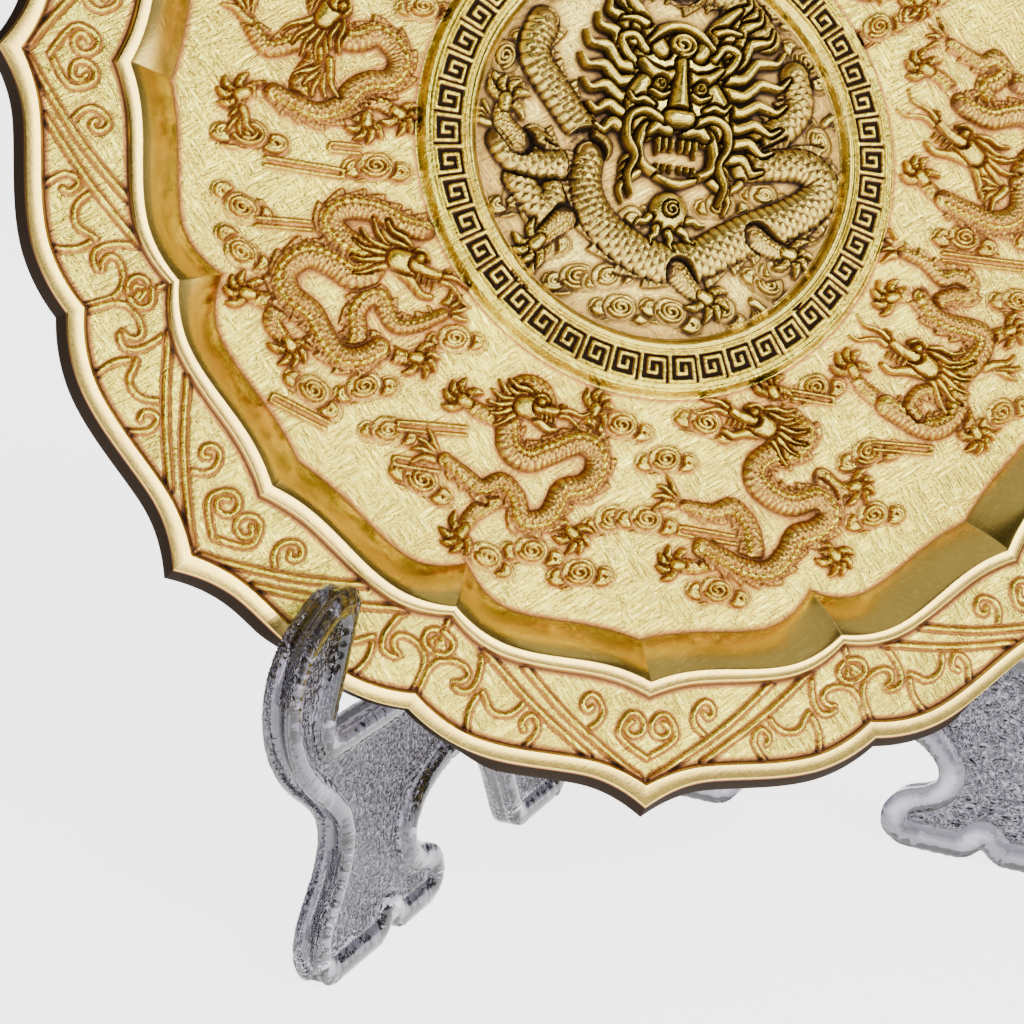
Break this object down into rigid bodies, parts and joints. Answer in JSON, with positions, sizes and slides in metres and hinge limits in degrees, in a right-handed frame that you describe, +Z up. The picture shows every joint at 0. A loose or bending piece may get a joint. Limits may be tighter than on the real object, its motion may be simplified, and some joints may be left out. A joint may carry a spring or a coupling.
{
  "type": "relief plate on folding display stand",
  "caption": "Lobed gilt relief plate with a dragon medallion, leaning on a clear folding display stand.",
  "frame": {"origin": "on the floor, below the centre of the bounding box of plate and stand", "axes": "+Z up, -Y towards the viewer who faces the plate, +X to that viewer's right"},
  "size_m": [0.2572, 0.1028, 0.2703],
  "materials": {
    "gilt_brass": "antique gold with a red-brown patina in the recesses",
    "clear_plastic": "clear moulded plastic, polished ribs and stippled panels",
    "steel_wire": "plain drawn wire"
  },
  "bodies": {
    "left_half": {"stand_frame_left": "clear_plastic", "hinge_pin": "steel_wire"},
    "right_half": {"stand_frame_right": "clear_plastic"},
    "plate": {"relief_plate": "gilt_brass"}
  },
  "joints": [
    {"name": "plate_lift", "type": "slide", "parent": "left_half", "child": "plate", "axis": [0, 0.342, 0.9397], "range_m": [0, 0.1]},
    {"name": "stand_fold", "type": "hinge", "parent": "left_half", "child": "right_half", "pos_m": [0, 0.0462, 0.0608], "axis": [0, 0, 1], "range_deg": [0, 1.2]}
  ]
}
